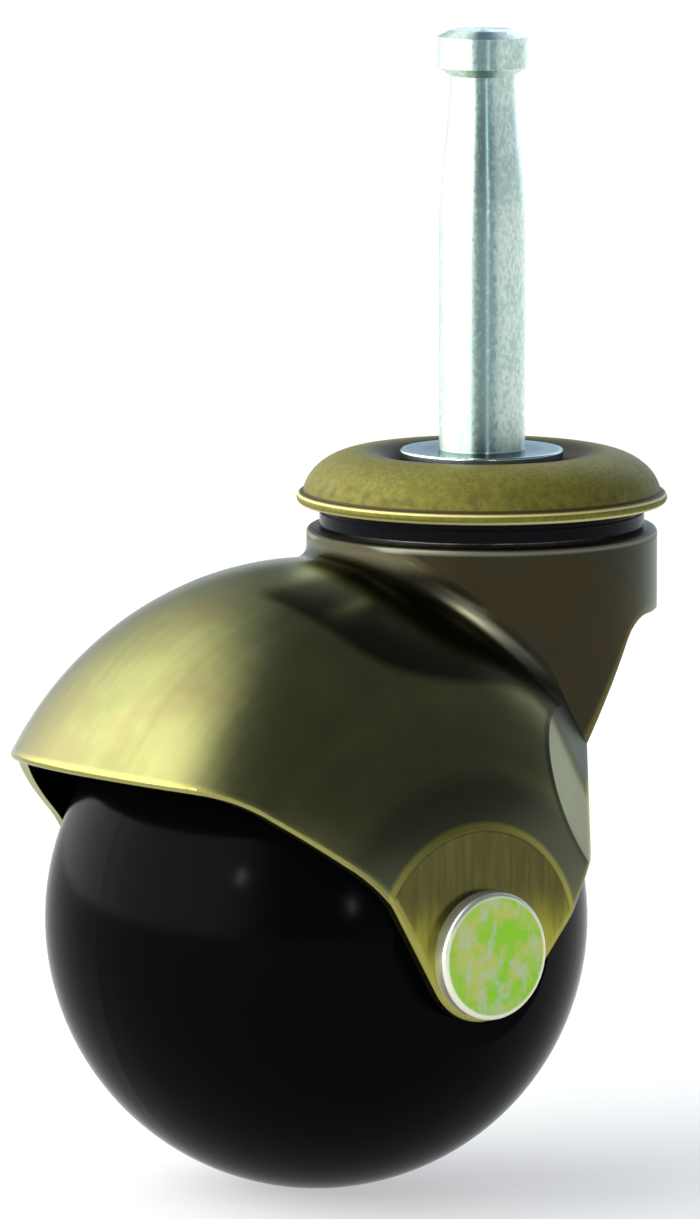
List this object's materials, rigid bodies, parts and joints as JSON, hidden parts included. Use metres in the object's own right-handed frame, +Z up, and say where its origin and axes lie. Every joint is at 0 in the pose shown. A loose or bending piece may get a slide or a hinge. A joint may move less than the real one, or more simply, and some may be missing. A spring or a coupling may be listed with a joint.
{
  "type": "hooded ball castor",
  "caption": "Furniture castor: a grip-neck stem and dust cap on a swivelling ball race, over a domed metal hood that carries a ball wheel on a riveted axle.",
  "frame": {"origin": "middle of the stem's shoulder seat, level with the top face of the shoulder washer", "axes": "+Z up the stem, +X from the stem towards the ball wheel, +Y along the axle to its flat head"},
  "size_m": [0.0652, 0.0536, 0.1051],
  "materials": {
    "zinc": "bright bluish zinc plate on turned steel, lightly mottled",
    "antique_brass": "satin antique brass plate, darkened in the hollows and worn pale on the edges",
    "black_ring": "glossy black moulded ring",
    "bearing_steel": "plain hardened steel with a film of grease",
    "nylon": "off-white nylon",
    "black_ball": "glossy black moulded ball",
    "yellow_zinc": "yellow-green chromate on zinc plate, with a pale worn rim"
  },
  "bodies": {
    "stem": {"stem": "zinc", "shoulder_washer": "zinc", "spacer_collar": "zinc", "dust_cap": "antique_brass", "upper_race": "bearing_steel", "thrust_washer": "nylon", "rivet_washer": "bearing_steel"},
    "ball_cage": {"ball_ring": "black_ring", "bearing_ball_01": "bearing_steel", "bearing_ball_02": "bearing_steel", "bearing_ball_03": "bearing_steel", "bearing_ball_04": "bearing_steel", "bearing_ball_05": "bearing_steel", "bearing_ball_06": "bearing_steel", "bearing_ball_07": "bearing_steel", "bearing_ball_08": "bearing_steel", "bearing_ball_09": "bearing_steel", "bearing_ball_10": "bearing_steel", "bearing_ball_11": "bearing_steel", "bearing_ball_12": "bearing_steel"},
    "hood": {"hood": "antique_brass", "lower_race": "bearing_steel", "axle_rivet": "yellow_zinc", "hub_washer_near": "zinc", "hub_washer_far": "zinc"},
    "wheel": {"wheel_ball": "black_ball", "wheel_bush": "bearing_steel"}
  },
  "joints": [
    {"name": "swivel", "type": "hinge", "parent": "stem", "child": "hood", "pos_m": [0, 0, 0], "axis": [0, 0, 1], "continuous": true},
    {"name": "cage_turn", "type": "hinge", "parent": "stem", "child": "ball_cage", "pos_m": [0, 0, 0], "axis": [0, 0, 1], "continuous": true},
    {"name": "wheel_spin", "type": "hinge", "parent": "hood", "child": "wheel", "pos_m": [0.01904, 0, -0.0417], "axis": [0, 1, 0], "continuous": true}
  ],
  "couplings": [
    {"joint": "cage_turn", "follows": "swivel", "ratio": 0.5}
  ]
}
